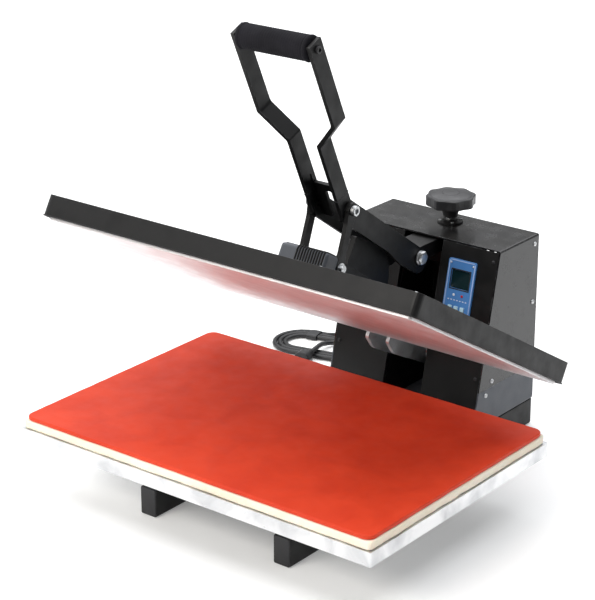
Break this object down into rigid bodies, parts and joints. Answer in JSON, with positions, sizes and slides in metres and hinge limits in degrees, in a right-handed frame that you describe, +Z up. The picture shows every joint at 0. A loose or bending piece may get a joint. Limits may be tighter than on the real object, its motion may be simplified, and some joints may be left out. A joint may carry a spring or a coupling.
{
  "type": "heat press",
  "caption": "Clamshell heat press with a flat padded lower platen, a hinged heated upper platen, a toggle lever handle, a pressure knob and a rear housing with its controller.",
  "frame": {"origin": "centre of the press's footprint on the bench, from the lower platen's front edge to the housing's back", "axes": "+X to the right of the person using it, +Y to the back, +Z up"},
  "size_m": [0.694, 0.7933, 0.6758],
  "materials": {
    "black_coat": "satin",
    "grey_coat": "satin",
    "zinc_steel": "zinc plated",
    "aluminium": "machined",
    "foam": "open-cell foam sheet",
    "red_silicone": "matte moulded sheet",
    "black_plastic": "moulded",
    "cord_pvc": "satin",
    "grip_foam": "foam rubber",
    "blue_panel": "printed overlay",
    "display": "lcd window",
    "pale_key": "translucent key",
    "red_rocker": "moulded",
    "light_plastic": "moulded",
    "insulation": "glass-fibre board"
  },
  "bodies": {
    "base": {"base_rail_left": "black_coat", "base_rail_right": "black_coat", "bed_support_front": "black_coat", "bed_support_rear": "black_coat", "lower_platen": "aluminium", "foam_pad": "foam", "silicone_pad": "red_silicone", "lower_housing": "grey_coat", "cheek_plate_left": "black_coat", "cheek_plate_right": "black_coat", "bridge_plate": "black_coat", "rear_tie_plate": "black_coat", "hinge_shaft": "zinc_steel", "screw_bush": "black_coat", "housing_cover": "black_coat", "front_panel_left": "black_coat", "front_panel_right": "black_coat", "back_panel": "black_coat", "controller_bezel": "blue_panel", "display_window": "display", "controller_case": "black_plastic", "solid_state_relay": "light_plastic", "switch_frame": "black_plastic", "cable_gland": "black_plastic", "mains_cord": "cord_pvc", "cord_hank": "cord_pvc", "mains_plug": "black_plastic"},
    "upper_platen": {"platen_cover": "black_coat", "heat_plate": "aluminium", "heating_element": "zinc_steel", "insulation_board": "insulation", "platen_bracket": "black_coat", "link_pin": "zinc_steel", "hinge_arm_left": "zinc_steel", "hinge_arm_right": "zinc_steel", "terminal_box": "light_plastic", "heater_lead": "cord_pvc"},
    "pressure_block": {"pressure_block": "zinc_steel", "pivot_lug": "black_coat", "fixed_pivot_bolt": "zinc_steel"},
    "pressure_knob": {"pressure_knob": "black_plastic", "pressure_screw": "zinc_steel"},
    "handle": {"toggle_arm_left": "black_coat", "toggle_arm_right": "black_coat", "handle_bar_left": "black_coat", "handle_bar_right": "black_coat", "handle_web": "black_coat", "grip_rod": "zinc_steel", "handle_grip": "grip_foam", "knee_bolt_left": "zinc_steel", "knee_bolt_right": "zinc_steel"},
    "toggle_links": {"toggle_link_left": "black_coat", "toggle_link_right": "black_coat", "link_bolt_left": "zinc_steel", "link_bolt_right": "zinc_steel"},
    "button_1": {"panel_button_1": "pale_key"},
    "button_2": {"panel_button_2": "pale_key"},
    "button_3": {"panel_button_3": "pale_key"},
    "rocker": {"power_rocker": "red_rocker"}
  },
  "joints": [
    {"name": "platen_hinge", "type": "hinge", "parent": "base", "child": "upper_platen", "pos_m": [0, 0.2099, 0.1275], "axis": [1, 0, 0], "range_deg": [0, 30.3]},
    {"name": "pressure_slide", "type": "slide", "parent": "base", "child": "pressure_block", "axis": [0, 0, 1], "range_m": [-0.0025, 0.0025]},
    {"name": "knob_turn", "type": "hinge", "parent": "pressure_block", "child": "pressure_knob", "pos_m": [0, 0.2835, 0.303], "axis": [0, 0, 1], "range_deg": [-450, 450]},
    {"name": "handle_pivot", "type": "hinge", "parent": "pressure_block", "child": "handle", "pos_m": [0, 0.1649, 0.2865], "axis": [1, 0, 0], "range_deg": [0, 56.82]},
    {"name": "link_pivot", "type": "hinge", "parent": "handle", "child": "toggle_links", "pos_m": [0, -0.00469, 0.40344], "axis": [1, 0, 0], "range_deg": [-104.34, 0]},
    {"name": "button_1_press", "type": "slide", "parent": "base", "child": "button_1", "axis": [0, 0.9759, -0.2181], "range_m": [0, 0.001], "stiffness_N_per_m": 800},
    {"name": "button_2_press", "type": "slide", "parent": "base", "child": "button_2", "axis": [0, 0.9759, -0.2181], "range_m": [0, 0.001], "stiffness_N_per_m": 800},
    {"name": "button_3_press", "type": "slide", "parent": "base", "child": "button_3", "axis": [0, 0.9759, -0.2181], "range_m": [0, 0.001], "stiffness_N_per_m": 800},
    {"name": "rocker_switch", "type": "hinge", "parent": "base", "child": "rocker", "pos_m": [0.055, 0.3165, 0.095], "axis": [1, 0, 0], "range_deg": [0, 16]}
  ],
  "couplings": [
    {"joint": "handle_pivot", "follows": "platen_hinge", "ratio": 1.8754},
    {"joint": "link_pivot", "follows": "platen_hinge", "ratio": -3.4437},
    {"joint": "knob_turn", "follows": "pressure_slide", "rad_per_m": 3141.6}
  ]
}
